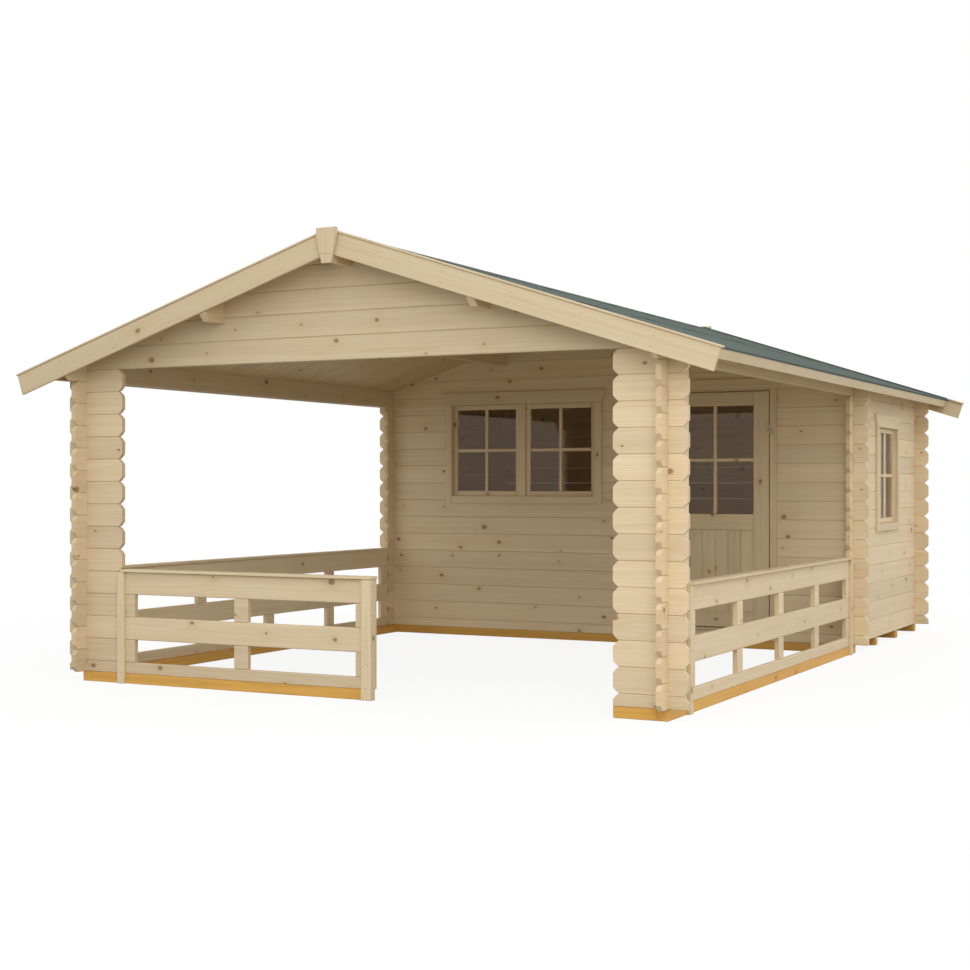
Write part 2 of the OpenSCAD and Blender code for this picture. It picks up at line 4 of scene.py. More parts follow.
import bmesh
import bpy
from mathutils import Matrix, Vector


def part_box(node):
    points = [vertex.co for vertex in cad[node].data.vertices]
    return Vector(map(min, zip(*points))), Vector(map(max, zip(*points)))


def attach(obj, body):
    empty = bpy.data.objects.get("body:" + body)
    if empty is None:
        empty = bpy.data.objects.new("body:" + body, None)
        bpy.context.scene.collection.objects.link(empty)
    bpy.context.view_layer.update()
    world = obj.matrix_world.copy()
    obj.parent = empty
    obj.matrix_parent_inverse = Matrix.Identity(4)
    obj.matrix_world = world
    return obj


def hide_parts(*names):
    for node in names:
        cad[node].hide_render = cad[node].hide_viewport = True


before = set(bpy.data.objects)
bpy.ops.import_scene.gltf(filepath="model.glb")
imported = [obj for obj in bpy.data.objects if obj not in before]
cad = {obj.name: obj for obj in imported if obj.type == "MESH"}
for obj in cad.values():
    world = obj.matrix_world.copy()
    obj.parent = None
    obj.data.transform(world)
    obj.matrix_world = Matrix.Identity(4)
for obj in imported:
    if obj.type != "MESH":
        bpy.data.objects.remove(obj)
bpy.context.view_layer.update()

# Foundation beams and joists
# Square pine beams, pressure treated to an ochre tone, that lie on the ground under the posts,
# the railings and the cabin. Their sawn edges are slightly eased.


def tint(red, green, blue):
    """Colour as it reads on a colour card, 0 to 255, turned into linear light by the sRGB curve."""
    return (*(((c / 255 + 0.055) / 1.055) ** 2.4 for c in (red, green, blue)), 1.0)


class Term:
    """A value in a shader. A sum that is written with it becomes math nodes of that shader."""

    def __init__(self, socket):
        self.socket = socket
        self.tree = socket.id_data

    def math(self, operation, *others):
        made = new_node("Math", self)
        made.operation = operation
        return fill(made, dict(enumerate((self, *others))))[0]

    def __add__(self, other):
        return self.math("ADD", other)

    def __sub__(self, other):
        return self.math("SUBTRACT", other)

    def __mul__(self, other):
        return self.math("MULTIPLY", other)

    def __truediv__(self, other):
        return self.math("DIVIDE", other)

    def __abs__(self):
        return self.math("ABSOLUTE")


def put(socket, value):
    """Links a term to a socket, or sets a plain value on it."""
    if isinstance(value, Term):
        value.tree.links.new(value.socket, socket)
    else:
        socket.default_value = value


def fill(made, values):
    """Fills the inputs of a node, given by name or number, and gives back its outputs."""
    for name, value in values.items():
        put(made.inputs[name], value)
    return [Term(socket) for socket in made.outputs]


def new_node(kind, *terms):
    """New node in the shader that the terms belong to."""
    tree = next(term.tree for term in terms if isinstance(term, Term))
    return tree.nodes.new("ShaderNode" + kind)


def combine(x, y, z):
    return fill(new_node("CombineXYZ", x, y, z), {0: x, 1: y, 2: z})[0]


def split(vector):
    return fill(new_node("SeparateXYZ", vector), {0: vector})


def noise(vector, scale, detail=2.0, roughness=0.5):
    made = new_node("TexNoise", vector)
    return fill(made, {"Vector": vector, "Scale": scale, "Detail": detail, "Roughness": roughness})[0]


def dice(vector):
    """Four random numbers, the same wherever the vector is the same."""
    made = new_node("TexWhiteNoise", vector)
    made.noise_dimensions = "3D"
    value, colour = fill(made, {"Vector": vector})
    return [value, *fill(new_node("SeparateColor", colour), {0: colour})]


def spread(share, low, high):
    """Number between low and high for a share between 0 and 1."""
    return share * (high - low) + low


def mix_colour(share, first, second, way="MIX"):
    made = new_node("Mix", share, first, second)
    made.data_type = "RGBA"
    made.blend_type = way
    return fill(made, {0: share, 6: first, 7: second})[2]


def ease(value, low, high):
    """Smooth ramp from 0 at low to 1 at high."""
    made = new_node("MapRange", value)
    made.interpolation_type = "SMOOTHSTEP"
    return fill(made, {"Value": value, "From Min": low, "From Max": high})[0]


def new_group(name, inputs, outputs, colours=()):
    """Empty node group. Its sockets are plain values, except those named as colours."""
    tree = bpy.data.node_groups.new(name, "ShaderNodeTree")
    for labels, way in ((inputs, "INPUT"), (outputs, "OUTPUT")):
        for label in labels:
            kind = "NodeSocketColor" if label in colours else "NodeSocketFloat"
            tree.interface.new_socket(label, in_out=way, socket_type=kind)
    given = tree.nodes.new("NodeGroupInput").outputs
    return tree, [Term(given[label]) for label in inputs], tree.nodes.new("NodeGroupOutput").inputs


def use_group(group, tree, values):
    """Puts a node group into a shader, fills its inputs and gives back its outputs."""
    made = tree.nodes.new("ShaderNodeGroup")
    made.node_tree = group
    return fill(made, values)


# Pine cut from a trunk: rings about a heart that lies outside the board, drawn out along the
# grain, bent round small knots. Each board number gives another cut. Lengths are in metres, tones
# are shares of a darker colour, and a pair is a least and a most, or the two ends of a ramp.
PINE_PLACE = ("Along", "Across", "Depth", "Board", "Edge")
PINE_CUT = ("Early", "Late", "Knot", "Contrast", "Knots")
CUT_SEED = 0.37
TRUNK_RUN = 43.0
KNOT_SEED = 5.0
KNOT_EVERY = 0.46
KNOT_ALONG = (0.2, 0.8)
KNOT_ACROSS = (-0.055, 0.055)
KNOT_RADIUS = (0.0062, 0.0157)
KNOT_STRETCH = 0.55
KNOT_RAG = 0.006
KNOT_RAGS = 130.0
KNOT_EDGE = (1.75, 0.70)
KNOT_RIM = 1.1
KNOT_TONE = (0.62, 0.84)
HALO_WIDTH = 2.6
HALO_TONE = 0.30
HEART_ACROSS = (-0.05, 0.05)
HEART_DEPTH = (0.028, 0.108)
RING_PITCH = 0.0095
RING_SWAY = 3.4
SWAY_ALONG = 0.8
SWAY_ACROSS = 3.0
SWAY_SCALE = 1.3
RING_BEND = 1.1
RING_SHARPNESS = 2.4
RING_TONE = 0.26
STREAKS_ALONG = 0.7
STREAKS = 42.0
STREAK_TONE = (-0.27, 0.53)
FIBRES_ALONG = 9.0
FIBRES = 300.0
FIBRE_TONE = (-0.15, 0.15)
CLOUD_ACROSS = 2.0
CLOUD_SCALE = 2.6
WARM = (1.0, 0.90, 0.78, 1.0)
WARM_TONE = (-0.11, 0.385)
BOARD_TONE = (0.90, 1.03)
RUBBED_AND_SHADED = (0.80, 0.74, 0.66, 1.0)
RUBBED_AND_SHADED_PATCHES = (0.30, 0.62)
RUBBED_AND_SHADED_TONE = 0.55
WOOD_ROUGH = 0.50
RING_ROUGH = -0.10
FIBRE_ROUGH = 0.18
RUBBED_ROUGH = 0.15
RING_RISE = 0.5
FIBRE_RISE = 0.7
KNOT_RISE = 0.4
pine_tree, put_in, put_out = new_group(
    "pine_grain", PINE_PLACE + PINE_CUT, ("Color", "Roughness", "Height"),
    colours=("Early", "Late", "Knot", "Color")
)
along, across, depth, board, edge, early, late, knot, contrast, knots = put_in
lot, lot_a, lot_b, lot_c = dice(combine(board, CUT_SEED, 0.0))
run = along + lot * TRUNK_RUN
cell = run / KNOT_EVERY
knot_lot, knot_a, knot_b, knot_c = dice(combine(cell.math("FLOOR"), board, KNOT_SEED))
off_along = (cell.math("FRACT") - spread(knot_a, *KNOT_ALONG)) * KNOT_EVERY
off_across = across - spread(knot_b, *KNOT_ACROSS)
knot_far = (off_along * off_along * KNOT_STRETCH + off_across * off_across).math("SQRT")
knot_ragged = knot_far + noise(combine(run, across, depth), KNOT_RAGS) * KNOT_RAG
knot_r = spread(knot_c * knot_c, *KNOT_RADIUS)
knot_there = knot_lot.math("LESS_THAN", knots)
knot_core = knot_there * ease(knot_ragged, *(knot_r * share for share in KNOT_EDGE))
knot_wide = knot_far / (knot_r * HALO_WIDTH)
knot_halo = knot_there / (knot_wide * knot_wide + 1.0)
heart_across = across - spread(lot_a, *HEART_ACROSS)
heart_depth = depth + spread(lot_b, *HEART_DEPTH)
heart_far = (heart_across * heart_across + heart_depth * heart_depth).math("SQRT")
sway = noise(combine(run * SWAY_ALONG, across * SWAY_ACROSS, lot), SWAY_SCALE, detail=3.0)
ring_place = heart_far / RING_PITCH + sway * RING_SWAY + knot_halo * RING_BEND
ring_wave = (ring_place * math.tau).math("SINE") * 0.5 + 0.5
ring = ring_wave.math("POWER", RING_SHARPNESS)
streak = noise(combine(run * STREAKS_ALONG, across * STREAKS, depth * STREAKS), 1.0, detail=3.0)
fibre = noise(combine(run * FIBRES_ALONG, across * FIBRES, depth * FIBRES), 1.0)
cloud = noise(combine(run, across * CLOUD_ACROSS, lot_c), CLOUD_SCALE)
dark = ring * RING_TONE + spread(streak, *STREAK_TONE) + spread(fibre, *FIBRE_TONE)
wood = mix_colour(dark * contrast, early, late)
wood = mix_colour(spread(cloud, *WARM_TONE), wood, WARM, "MULTIPLY")
board_tone = spread(lot_c, *BOARD_TONE)
wood = mix_colour(1.0, wood, combine(board_tone, board_tone, board_tone), "MULTIPLY")
wood = mix_colour(knot_halo * HALO_TONE, wood, late)
knot_rim = ease(knot_ragged, 0.0, knot_r * KNOT_RIM)
wood = mix_colour(knot_core * spread(knot_rim, *KNOT_TONE), wood, knot)
# Near the long edges the pine is darkened in patches: rubbed dirt, and painted shade where pieces meet in a
# joint.
rubbed_and_shaded = edge * ease(cloud, *RUBBED_AND_SHADED_PATCHES)
wood = mix_colour(rubbed_and_shaded * RUBBED_AND_SHADED_TONE, wood, RUBBED_AND_SHADED, "MULTIPLY")
put(put_out["Color"], wood)
put(put_out["Roughness"], ring * RING_ROUGH + fibre * FIBRE_ROUGH + rubbed_and_shaded * RUBBED_ROUGH + WOOD_ROUGH)
put(put_out["Height"], ring * RING_RISE + fibre * FIBRE_RISE + knot_core * KNOT_RISE)

# Nearness to the long edges of a piece, where planed timber gets rubbed and dirty and joints lie in shade.
# The pine is darkened there: rubbed dirt, and painted shade in the joints.
EDGE_REACH = (0.009, 0.001)
edge_tree, put_in, put_out = new_group(
    "edge_near", ("Across", "Depth", "Half Width", "Half Depth"), ("Edge",)
)
across, depth, half_width, half_depth = put_in
edge_far = (half_width - abs(across)).math("MAXIMUM", half_depth - abs(depth))
put(put_out["Edge"], ease(edge_far, *EDGE_REACH))


def new_material(name):
    material = bpy.data.materials.new(name)
    material.use_nodes = True
    return material


def surface_of(material):
    """Inputs of a material's surface."""
    return material.node_tree.nodes["Principled BSDF"].inputs


def raise_grain(material, height, strength, rise):
    """Fine relief on a surface, as a bump."""
    bump = fill(new_node("Bump", height), {"Height": height, "Strength": strength, "Distance": rise})
    put(surface_of(material)["Normal"], bump[0])


WOOD_SHINE = 0.30
GRAIN_STRENGTH = 0.35
GRAIN_RISE = 0.0012


def finish_wood(material, place, cut):
    """Puts the pine on a material and gives back its colour."""
    values = dict(zip(PINE_PLACE + PINE_CUT, (*place, *cut)))
    colour, roughness, height = use_group(pine_tree, material.node_tree, values)
    surface = surface_of(material)
    put(surface["Base Color"], colour)
    put(surface["Roughness"], roughness)
    put(surface["Specular IOR Level"], WOOD_SHINE)
    raise_grain(material, height, GRAIN_STRENGTH, GRAIN_RISE)
    return colour


def cut_timber(name, early, late, knot, contrast, knots):
    """Pine for pieces that carry their own grain: the direction of the cut and the number of the board."""
    material = new_material(name)
    tree = material.node_tree
    parts = []
    for label in ("grain", "reach"):
        made = tree.nodes.new("ShaderNodeAttribute")
        made.attribute_name = label
        parts.append(split(Term(made.outputs["Vector"])))
    (along, across, depth), (board, half_width, half_depth) = parts
    edge = use_group(edge_tree, tree, {
        "Across": across, "Depth": depth, "Half Width": half_width, "Half Depth": half_depth})[0]
    finish_wood(material, (along, across, depth, board, edge), (early, late, knot, contrast, knots))
    return material


POINTS_PER_METRE = 20000


def solids_of(node):
    """Each separate solid in a node of the frame, as its corner points and its faces."""
    mesh = cad[node].data
    spots = {}
    home = []
    for vertex in mesh.vertices:
        key = tuple(round(c * POINTS_PER_METRE) for c in vertex.co)
        home.append(spots.setdefault(key, len(spots)))
    group = list(range(len(spots)))

    def root(i):
        while group[i] != i:
            group[i] = group[group[i]]
            i = group[i]
        return i

    for edge in mesh.edges:
        first, second = (root(home[i]) for i in edge.vertices)
        group[first] = second
    points = [Vector(key) / POINTS_PER_METRE for key in spots]
    solids = {}
    for i in range(len(points)):
        solids.setdefault(root(i), ({}, []))[0][i] = points[i]
    for face in mesh.polygons:
        corners = list(dict.fromkeys(home[i] for i in face.vertices))
        if len(corners) > 2:
            solids[root(corners[0])][1].append(corners)
    found = []
    for own, faces in (solids[i] for i in sorted(solids)):
        order = {i: n for n, i in enumerate(own)}
        found.append((list(own.values()), [[order[i] for i in face] for face in faces]))
    return found


def span(points):
    """Lowest and highest corner of a set of points."""
    return (Vector([min(p[i] for p in points) for i in range(3)]),
            Vector([max(p[i] for p in points) for i in range(3)]))


def join_part(name, mesh, material, body, replaced):
    """Makes a mesh a piece that rides on a body, in place of the nodes that it stands for."""
    mesh.materials.append(material)
    made = bpy.data.objects.new(name, mesh)
    bpy.context.scene.collection.objects.link(made)
    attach(made, body)
    if replaced:
        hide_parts(*replaced)


NEARLY_FLAT = 0.01
NEARLY_SQUARE = 0.2


class Stock:
    """Timber of one kind, collected piece by piece and then made into one mesh."""

    def __init__(self):
        self.points = []
        self.faces = []
        self.grain = []
        self.reach = []
        self.count = 0

    def take(self, shape, along, across, depth, centre):
        """Adds a finished shape: its grain from its centre, its number and its half width and depth."""
        start = len(self.points)
        shape.verts.index_update()
        grain = [[(vertex.co - centre).dot(way) for way in (along, across, depth)] for vertex in shape.verts]
        half_width, half_depth = (max(abs(spot[i]) for spot in grain) for i in (1, 2))
        self.points.extend(vertex.co.copy() for vertex in shape.verts)
        self.grain.extend(grain)
        self.reach.extend([float(self.count), half_width, half_depth] for spot in grain)
        self.faces.extend([start + v.index for v in face.verts] for face in shape.faces)
        self.count += 1
        shape.free()

    def solid(self, points, faces, bevel, along=None):
        """Adds a straight piece: the grain runs along its longest edge unless it is given."""
        shape = bmesh.new()
        corners = [shape.verts.new(point) for point in points]
        if faces:
            for face in faces:
                if not shape.faces.get([corners[i] for i in face]):
                    shape.faces.new([corners[i] for i in face])
            bmesh.ops.recalc_face_normals(shape, faces=shape.faces[:])
        else:
            bmesh.ops.convex_hull(shape, input=shape.verts[:])
        bmesh.ops.dissolve_limit(shape, angle_limit=NEARLY_FLAT, verts=shape.verts[:], edges=shape.edges[:])
        if along is None:
            longest = max(shape.edges, key=lambda e: e.calc_length())
            along = (longest.verts[1].co - longest.verts[0].co).normalized()
        sides = [f.normal.copy() for f in shape.faces if abs(f.normal.dot(along)) < NEARLY_SQUARE]

        def thickness(normal):
            reach = [v.co.dot(normal) for v in shape.verts]
            return max(reach) - min(reach)

        depth = min(sides, key=thickness)
        low, high = span(points)
        bmesh.ops.bevel(shape, geom=shape.edges[:], offset=bevel, segments=2, profile=0.5,
                        affect="EDGES", clamp_overlap=True)
        self.take(shape, along, depth.cross(along), depth, (low + high) / 2)

    def block(self, low, high, bevel):
        corners = [Vector((x, y, z)) for x in (low[0], high[0]) for y in (low[1], high[1])
                   for z in (low[2], high[2])]
        self.solid(corners, [], bevel)

    def piece(self, name, material, body, replaced=()):
        """The collected timber as one piece that rides on a body."""
        mesh = bpy.data.meshes.new(name)
        mesh.from_pydata(self.points, [], self.faces)
        for label, values in (("grain", self.grain), ("reach", self.reach)):
            held = mesh.attributes.new(label, "FLOAT_VECTOR", "POINT")
            held.data.foreach_set("vector", [c for value in values for c in value])
        mesh.update()
        join_part(name, mesh, material, body, replaced)


def dress(name, node, material, body, bevel, along=None):
    """The solids of a node with eased edges and with grain along each of them."""
    stock = Stock()
    for points, faces in solids_of(node):
        stock.solid(points, faces, bevel, along)
    stock.piece(name, material, body, [node])


BEAM_EASE = 0.003
treated = cut_timber("treated_pine", tint(229, 179, 91), tint(180, 126, 50), tint(120, 74, 30),
                     contrast=0.9, knots=0.5)
dress("base_beams", "terrace_base_beams", treated, "cabin", BEAM_EASE)
dress("joists", "floor_joists", treated, "cabin", BEAM_EASE)

# Cabin floor
# Planed boards laid across the joists from the front wall to the rear wall, with a small open
# joint and eased edges between them. Seen through the door and the windows.
FLOOR_BOARD = 0.095
BOARD_EASE = 0.0015
OPEN_JOINT = 0.0015
KNOT_BROWN = tint(132, 88, 50)


def side_by_side(low, high, board, joint):
    """Both edges of each board in a row of equal boards, with an open joint between them."""
    count = round((high - low) / board)
    width = (high - low) / count
    return [(low + i * width + joint / 2, low + (i + 1) * width - joint / 2) for i in range(count)]


floor_low, floor_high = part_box("cabin_floor")
floor_stock = Stock()
for left, right in side_by_side(floor_low.x, floor_high.x, FLOOR_BOARD, OPEN_JOINT):
    floor_stock.block((left, *floor_low.yz), (right, *floor_high.yz), BOARD_EASE)
floor_pine = cut_timber("floor_pine", tint(224, 203, 164), tint(190, 154, 104), KNOT_BROWN,
                        contrast=1.0, knots=0.6)
floor_stock.piece("floor_boards", floor_pine, "cabin", ["cabin_floor"])

# Log walls, posts and railings
# Planed pine logs with chamfered joints and bevel-cut ends, laid in courses that cross at the
# corners. They are left untreated: pale, with small brown knots, and a little darker on the sawn ends.
END_GRAIN = (0.93, 0.89, 0.82, 1.0)
LOG_EARLY = tint(231, 213, 180)
LOG_LATE = tint(199, 166, 118)
LOG_CONTRAST = 0.62
LOG_KNOTS = 0.58
# How strongly log edges darken: rubbed dirt, and painted shade in the joints between logs.
LOG_WEAR_AND_SHADE = 0.4
# Painted shade darkens the front gable, railing and left post; painted light brightens the cabin front.
FRONT_PAINTED_SHADE = 0.94
CABIN_PAINTED_LIGHT = 1.06
COURSE = 0.135
END_FACING = (0.5, 0.9)
WALL_NUMBERS = 30.0
WALLS_PER_METRE = 10
POST_SLACK = 0.0006
front_low, front_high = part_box("front_gable")
cabin_low, cabin_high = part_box("cabin_front_gable")
rear_low, rear_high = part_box("rear_wall")
left_low, left_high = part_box("left_wall")
right_low, right_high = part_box("right_wall")
cross_start = front_low.z
side_start = left_low.z
log_half = (front_high.y - front_low.y) / 2

# Place of a point in a wall of logs: how far it is off the middle of its log, the number of the
# log, and whether it lies on a sawn end.
LOG_PLACE = ("Across", "Depth", "Board", "Edge", "End")
course_tree, put_in, put_out = new_group(
    "log_courses", ("Level", "Through", "Facing", "Start", "Plane", "Wall"), LOG_PLACE
)
level, through, facing, lowest, middle_plane, wall = put_in
course = (level - lowest) / COURSE
log_across = (course.math("FRACT") - 0.5) * COURSE
log_depth = through - middle_plane
log_edge = use_group(edge_tree, course_tree, {
    "Across": log_across, "Depth": log_depth, "Half Width": COURSE / 2, "Half Depth": log_half})[0]
log_number = course.math("FLOOR") + wall
log_end = ease(abs(facing), *END_FACING)
for name, term in zip(LOG_PLACE, (log_across, log_depth, log_number, log_edge * LOG_WEAR_AND_SHADE, log_end)):
    put(put_out[name], term)


def own_spot(tree):
    """Place of a point of the surface in the frame of its own piece."""
    return Term(tree.nodes.new("ShaderNodeTexCoord").outputs["Object"])


def log_places(tree, *walls):
    """Along, across, depth, number, edge and end for each wall, given by its axis, plane and start."""
    spot = split(own_spot(tree))
    normal = split(Term(tree.nodes.new("ShaderNodeNewGeometry").outputs["True Normal"]))
    return [[spot[axis], *use_group(course_tree, tree, {
        "Level": spot[2], "Through": spot[1 - axis], "Facing": normal[axis], "Start": start,
        "Plane": plane, "Wall": WALL_NUMBERS * round(WALLS_PER_METRE * plane)})]
        for axis, plane, start in walls]


def finish_logs(material, places, painted_light):
    """Log pine, darker on the sawn ends. The last argument scales its colour: painted light above 1, painted
    shade below 1.
    """
    *place, end = places
    early, late = ((*(c * painted_light for c in colour[:3]), 1.0) for colour in (LOG_EARLY, LOG_LATE))
    colour = finish_wood(material, place, (early, late, KNOT_BROWN, LOG_CONTRAST, LOG_KNOTS))
    put(surface_of(material)["Base Color"], mix_colour(end, colour, END_GRAIN, "MULTIPLY"))
    return material


def log_pine(name, axis, plane, start, painted_light=1.0):
    material = new_material(name)
    return finish_logs(material, log_places(material.node_tree, (axis, plane, start))[0], painted_light)


def mix_value(share, first, second):
    made = new_node("Mix", share)
    made.data_type = "FLOAT"
    return fill(made, {0: share, 2: first, 3: second})[0]


def post_pine(name, cross_plane, side_plane, painted_light=1.0):
    """Logs of a corner post: those in the front plane run along X, the others along Y."""
    material = new_material(name)
    cross, side = log_places(material.node_tree, (0, cross_plane, cross_start), (1, side_plane, side_start))
    in_side = abs(cross[2]).math("GREATER_THAN", log_half + POST_SLACK)
    return finish_logs(material, [mix_value(in_side, a, b) for a, b in zip(cross, side)], painted_light)


def dress_cad(material, *names):
    for name in names:
        cad[name].data.materials.clear()
        cad[name].data.materials.append(material)


front_plane = (front_low.y + front_high.y) / 2
cabin_plane = (cabin_low.y + cabin_high.y) / 2
rear_plane = (rear_low.y + rear_high.y) / 2
left_plane = (left_low.x + left_high.x) / 2
right_plane = (right_low.x + right_high.x) / 2
# The front logs and left post carry painted shade, the cabin front logs painted light.
dress_cad(log_pine("front_logs", 0, front_plane, cross_start, FRONT_PAINTED_SHADE), "front_gable", "front_railing")
dress_cad(log_pine("cabin_front_logs", 0, cabin_plane, cross_start, CABIN_PAINTED_LIGHT),
          "front_wall_left", "front_wall_right", "front_wall_threshold", "cabin_front_gable")
dress_cad(log_pine("rear_logs", 0, rear_plane, cross_start), "rear_wall")
dress_cad(log_pine("left_logs", 1, left_plane, side_start), "left_wall", "left_eaves_beam")
dress_cad(log_pine("right_logs", 1, right_plane, side_start), "right_wall", "right_eaves_beam")
dress_cad(log_pine("left_rail_logs", 1, left_plane, cross_start), "left_railing")
dress_cad(log_pine("right_rail_logs", 1, right_plane, cross_start), "right_railing")
dress_cad(post_pine("left_post_logs", front_plane, left_plane, FRONT_PAINTED_SHADE), "left_front_post")
dress_cad(post_pine("right_post_logs", front_plane, right_plane), "right_front_post")

# Purlins
# Planed pine beams under the ridge and half way down each slope, planed to the roof on top and
# bevelled at the noses, which show under the barge boards.
beam_pine = cut_timber("beam_pine", tint(228, 209, 174), tint(194, 160, 110), KNOT_BROWN,
                       contrast=0.9, knots=0.45)
dress("ridge_beam", "ridge_purlin", beam_pine, "cabin", BEAM_EASE)
dress("side_beams", "side_purlins", beam_pine, "cabin", BEAM_EASE)

# Roof boards
# Thin tongued boards nailed across the purlins from the ridge to the eaves. From below they show
# as narrow strips with a V joint between them.
ROOF_BOARD = 0.0955
ROOF_BOARD_EASE = 0.003
roof_pine = cut_timber("roof_board_pine", tint(222, 199, 158), tint(186, 148, 98), KNOT_BROWN,
                       contrast=1.0, knots=0.55)


def spans_of(node):
    """Corner points of each solid in a node, with their lowest and highest corner."""
    return [(points, *span(points)) for points, _ in solids_of(node)]


for name in ("roof_boards_left", "roof_boards_right"):
    corners, low, high = spans_of(name)[0]
    side_view = [p for p in corners if p.y < (low.y + high.y) / 2]
    roof_stock = Stock()
    for edges in side_by_side(low.y, high.y, ROOF_BOARD, OPEN_JOINT):
        roof_stock.solid([Vector((p.x, y, p.z)) for p in side_view for y in edges], [], ROOF_BOARD_EASE)
    roof_stock.piece(name + "_laid", roof_pine, "cabin", [name])

# Roofing felt
# Bitumen felt with slate grey mineral chips: two strips along each slope, the upper lapped over the
# lower, which is turned down over the eaves, and a strip folded over the ridge. Clout nails along
# the laps hold them.
CHIPS = 420.0
PATCHES = 2.2
CHIP_EDGE = (0.30, 0.70)
CHIP_TONE = 0.75
PATCH_TONE = (-0.12, 0.38)
felt = new_material("mineral_felt")
felt_spot = own_spot(felt.node_tree)
chips = noise(felt_spot, CHIPS, detail=3.0, roughness=0.7)
patches = noise(felt_spot, PATCHES, detail=4.0, roughness=0.6)
felt_shade = ease(chips, *CHIP_EDGE) * CHIP_TONE + spread(patches, *PATCH_TONE)
felt_surface = surface_of(felt)
put(felt_surface["Base Color"], mix_colour(felt_shade, tint(61, 72, 70), tint(112, 122, 115)))
put(felt_surface["Roughness"], 0.95)
put(felt_surface["Specular IOR Level"], 0.10)
raise_grain(felt, chips, strength=0.6, rise=0.0015)

FELT_THICK = 0.003
FELT_LAP = 0.09
FELT_CLIMB = 0.03
LOWER_STRIP_FROM = 0.54
UPPER_STRIP_FROM = 0.02
RIDGE_WRAP = 0.30
RIDGE_ROUND = 0.03
RIDGE_FOLD = 0.012
FOLD_DROP = 0.001
FELT_WAVES = 90
LONG_WAVE = 0.0009
LONG_WAVE_TURN = 7.3
LONG_WAVE_SHIFT = 2.1
SHORT_WAVE = 0.0006
SHORT_WAVE_TURN = 17.9
WAVE_DOWN = 2.0
WAVE_UP = 0.3
UPSTAND_FOOT = -0.001
UPSTAND_OVER = 0.0005
CLOUT_EVERY = 0.11
CLOUT_IN = 0.03
CLOUT_R = 0.0045
felt_corners, felt_low, felt_high = spans_of("roof_felt_right")[0]
felt_length = felt_high.y - felt_low.y
ridge_spot = max(felt_corners, key=lambda p: p.z)
eaves_spot = max(felt_corners, key=lambda p: p.x)
fall = Vector((eaves_spot.x - ridge_spot.x, 0, eaves_spot.z - ridge_spot.z))
slope_length = fall.length
fall.normalize()
up = Vector((-fall.z, 0, fall.x))
ridge_top = Vector((0, 0, ridge_spot.z - ridge_spot.x * fall.z / fall.x))
felt_lip = min((p - ridge_top).dot(up) for p in felt_corners)
felt_points, felt_faces = [], []
clouts = []


def on_slope(side, down, lift, y):
    """Point down a slope from the ridge, lifted off the top of the lowest felt."""
    spot = ridge_top + fall * down + up * lift
    return Vector((side * max(spot.x, 0.0), y, spot.z))


def roof_place(points):
    """Side of the ridge that a board lies on, and how far down and off the slope its corners are."""
    side = 1 if sum(p.x for p in points) > 0 else -1
    spots = [Vector((abs(p.x), 0, p.z)) - ridge_top for p in points]
    return side, [spot.dot(fall) for spot in spots], [spot.dot(up) for spot in spots]


def sheet(row):
    """Ring round a flat strip of felt, from the row of points along its upper face."""
    return row + [(side, down, lift - FELT_THICK) for side, down, lift in row[::-1]]


def tube(start, size, rings):
    """Faces round a row of rings with size points each, closed at both ends; start is the first point."""
    last = start + (rings - 1) * size
    bands = [(ring + k, ring + (k + 1) % size, ring + size + (k + 1) % size, ring + size + k)
             for ring in range(start, last, size) for k in range(size)]
    return bands + [tuple(range(start, start + size)), tuple(range(last, last + size))[::-1]]


def felt_strip(ring):
    """Strip of felt with a ring as its side view, from verge to verge, its laps slightly wavy."""
    start = len(felt_points)
    for i in range(FELT_WAVES + 1):
        y = felt_low.y + felt_length * i / FELT_WAVES
        wave = LONG_WAVE * math.sin(LONG_WAVE_TURN * y + LONG_WAVE_SHIFT * len(ring))
        wave += SHORT_WAVE * math.sin(SHORT_WAVE_TURN * y + start)
        for side, down, lift in ring:
            moved = wave if lift > 0 else 0.0
            felt_points.append(on_slope(side, down + WAVE_DOWN * moved, lift + WAVE_UP * moved, y))
    felt_faces.extend(tube(start, len(ring), FELT_WAVES + 1))


lap_down = slope_length * LOWER_STRIP_FROM
lap_up = lap_down - FELT_LAP
for side in (-1, 1):
    felt_strip([
        (side, lap_up, 0.0), (side, slope_length, 0.0), (side, slope_length, felt_lip),
        (side, slope_length - FELT_THICK, felt_lip), (side, slope_length - FELT_THICK, -FELT_THICK),
        (side, lap_up, -FELT_THICK)])
    felt_strip(sheet([
        (side, UPPER_STRIP_FROM, 0.0), (side, lap_up - FELT_CLIMB, 0.0),
        (side, lap_up, FELT_THICK), (side, lap_down, FELT_THICK)]))
    clout_count = round(felt_length / CLOUT_EVERY)
    for row_down in (lap_down - CLOUT_IN, RIDGE_WRAP - CLOUT_IN):
        for i in range(clout_count):
            y = felt_low.y + (i + 0.5) * felt_length / clout_count
            clouts.append((on_slope(side, row_down, FELT_THICK, y), Vector((side * up.x, 0, up.z))))
felt_strip(sheet([
    (-1, RIDGE_WRAP, FELT_THICK), (-1, RIDGE_ROUND, FELT_THICK), (-1, RIDGE_FOLD, FELT_THICK - FOLD_DROP),
    (1, RIDGE_FOLD, FELT_THICK - FOLD_DROP), (1, RIDGE_ROUND, FELT_THICK), (1, RIDGE_WRAP, FELT_THICK)]))

